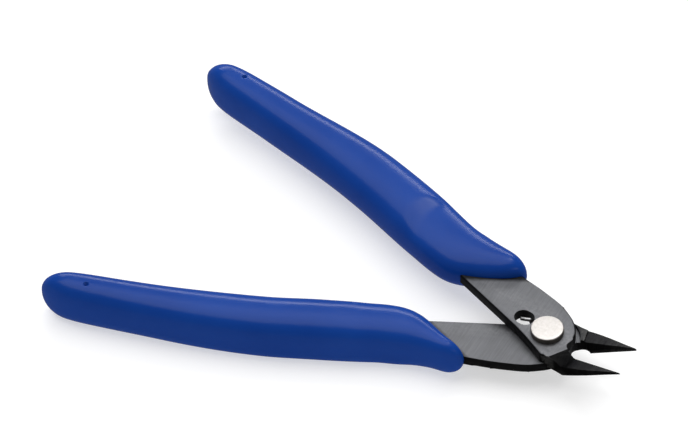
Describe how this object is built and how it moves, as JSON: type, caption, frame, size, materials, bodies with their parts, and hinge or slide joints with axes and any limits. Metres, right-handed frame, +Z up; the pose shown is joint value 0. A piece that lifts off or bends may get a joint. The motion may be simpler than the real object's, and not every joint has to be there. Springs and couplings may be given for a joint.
{
  "type": "flush cutter",
  "caption": "Hand-held flush cutter with upturned jaws, a riveted lap joint, a hidden return spring and two moulded grips.",
  "frame": {"origin": "centre of the bounding box's base, on the plane that the lower grip's underside rests on, tool open", "axes": "+X from the grips to the jaw tips, +Z up along the rivet, out of the upper half's face, +Y towards the upper half's grip"},
  "size_m": [0.124, 0.0774, 0.0133],
  "materials": {
    "black_oxide_steel": "black oxide, finely ground",
    "bright_steel": "bright, satin",
    "spring_steel": "drawn wire",
    "blue_grip": "semi-gloss moulded vinyl"
  },
  "bodies": {
    "lower_side": {"lower_half": "black_oxide_steel", "pivot_rivet": "bright_steel", "lower_grip": "blue_grip", "return_spring": "spring_steel"},
    "upper_side": {"upper_half": "black_oxide_steel", "upper_grip": "blue_grip"}
  },
  "joints": [
    {"name": "squeeze", "type": "hinge", "parent": "lower_side", "child": "upper_side", "pos_m": [0.04265, 0, 0.00665], "axis": [0, 0, 1], "range_deg": [0, 22], "stiffness_Nm_per_rad": 0.57, "springref_deg": -8.02, "deforming": ["return_spring"]}
  ]
}
